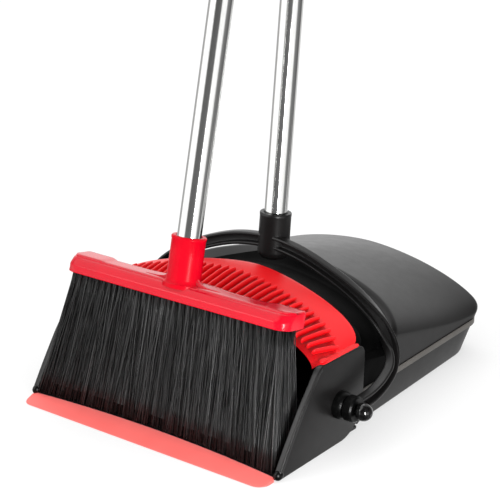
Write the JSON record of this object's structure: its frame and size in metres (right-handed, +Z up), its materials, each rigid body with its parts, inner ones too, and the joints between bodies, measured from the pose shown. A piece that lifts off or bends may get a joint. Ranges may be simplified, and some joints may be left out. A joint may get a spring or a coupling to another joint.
{
  "type": "lobby dustpan and broom",
  "caption": "Upright lidded dustpan on a swinging bail handle, with a comb over its mouth and a long-handled broom standing in it, clipped to the pan's pole.",
  "frame": {"origin": "on the floor, on the pan's centre plane, 205 mm behind the front edge of the lip", "axes": "+X to the pan's right seen from its mouth, +Y from the mouth towards the pan's rear, +Z up"},
  "size_m": [0.386, 0.4067, 1.2937],
  "materials": {
    "black_plastic": "moulded, fine satin",
    "soft_black_plastic": "moulded, dull",
    "gloss_black_plastic": "moulded, glossy",
    "trim_plastic": "moulded, satin grey",
    "lip_rubber": "soft moulded, satin",
    "comb_plastic": "moulded, satin",
    "red_plastic": "moulded, glossy",
    "bristle": "extruded filament",
    "steel": "polished tube"
  },
  "bodies": {
    "pan": {"pan_tray": "black_plastic", "pan_hood": "black_plastic", "seam_trim": "trim_plastic", "pan_lip": "lip_rubber", "comb": "comb_plastic", "pivot_bush_left": "soft_black_plastic", "pivot_bush_right": "soft_black_plastic", "pivot_pin_left": "gloss_black_plastic", "pivot_pin_right": "gloss_black_plastic"},
    "handle": {"bail": "black_plastic", "pan_pole_plug": "soft_black_plastic", "pan_pole_lower": "steel", "pan_pole_joint": "soft_black_plastic", "pan_pole_upper": "steel", "pan_grip": "soft_black_plastic", "pan_hang_cap": "black_plastic", "pole_clip": "black_plastic"},
    "broom": {"broom_head": "red_plastic", "bristle_plate": "soft_black_plastic", "bristles": "bristle", "broom_pole_plug": "soft_black_plastic", "broom_pole_lower": "steel", "broom_pole_joint_lower": "soft_black_plastic", "broom_pole_middle": "steel", "broom_pole_joint_upper": "soft_black_plastic", "broom_pole_upper": "steel", "broom_grip": "soft_black_plastic", "broom_hang_cap": "black_plastic"}
  },
  "joints": [
    {"name": "handle_swing", "type": "hinge", "parent": "pan", "child": "handle", "pos_m": [0, -0.0848, 0.0423], "axis": [1, 0, 0], "range_deg": [0, 95]},
    {"name": "broom_lift", "type": "slide", "parent": "handle", "child": "broom", "axis": [0, 0.2284, 0.9736], "range_m": [0, 0.652]}
  ],
  "couplings": [
    {"joint": "broom_lift", "follows": "handle_swing", "m_per_rad": 0.392}
  ]
}
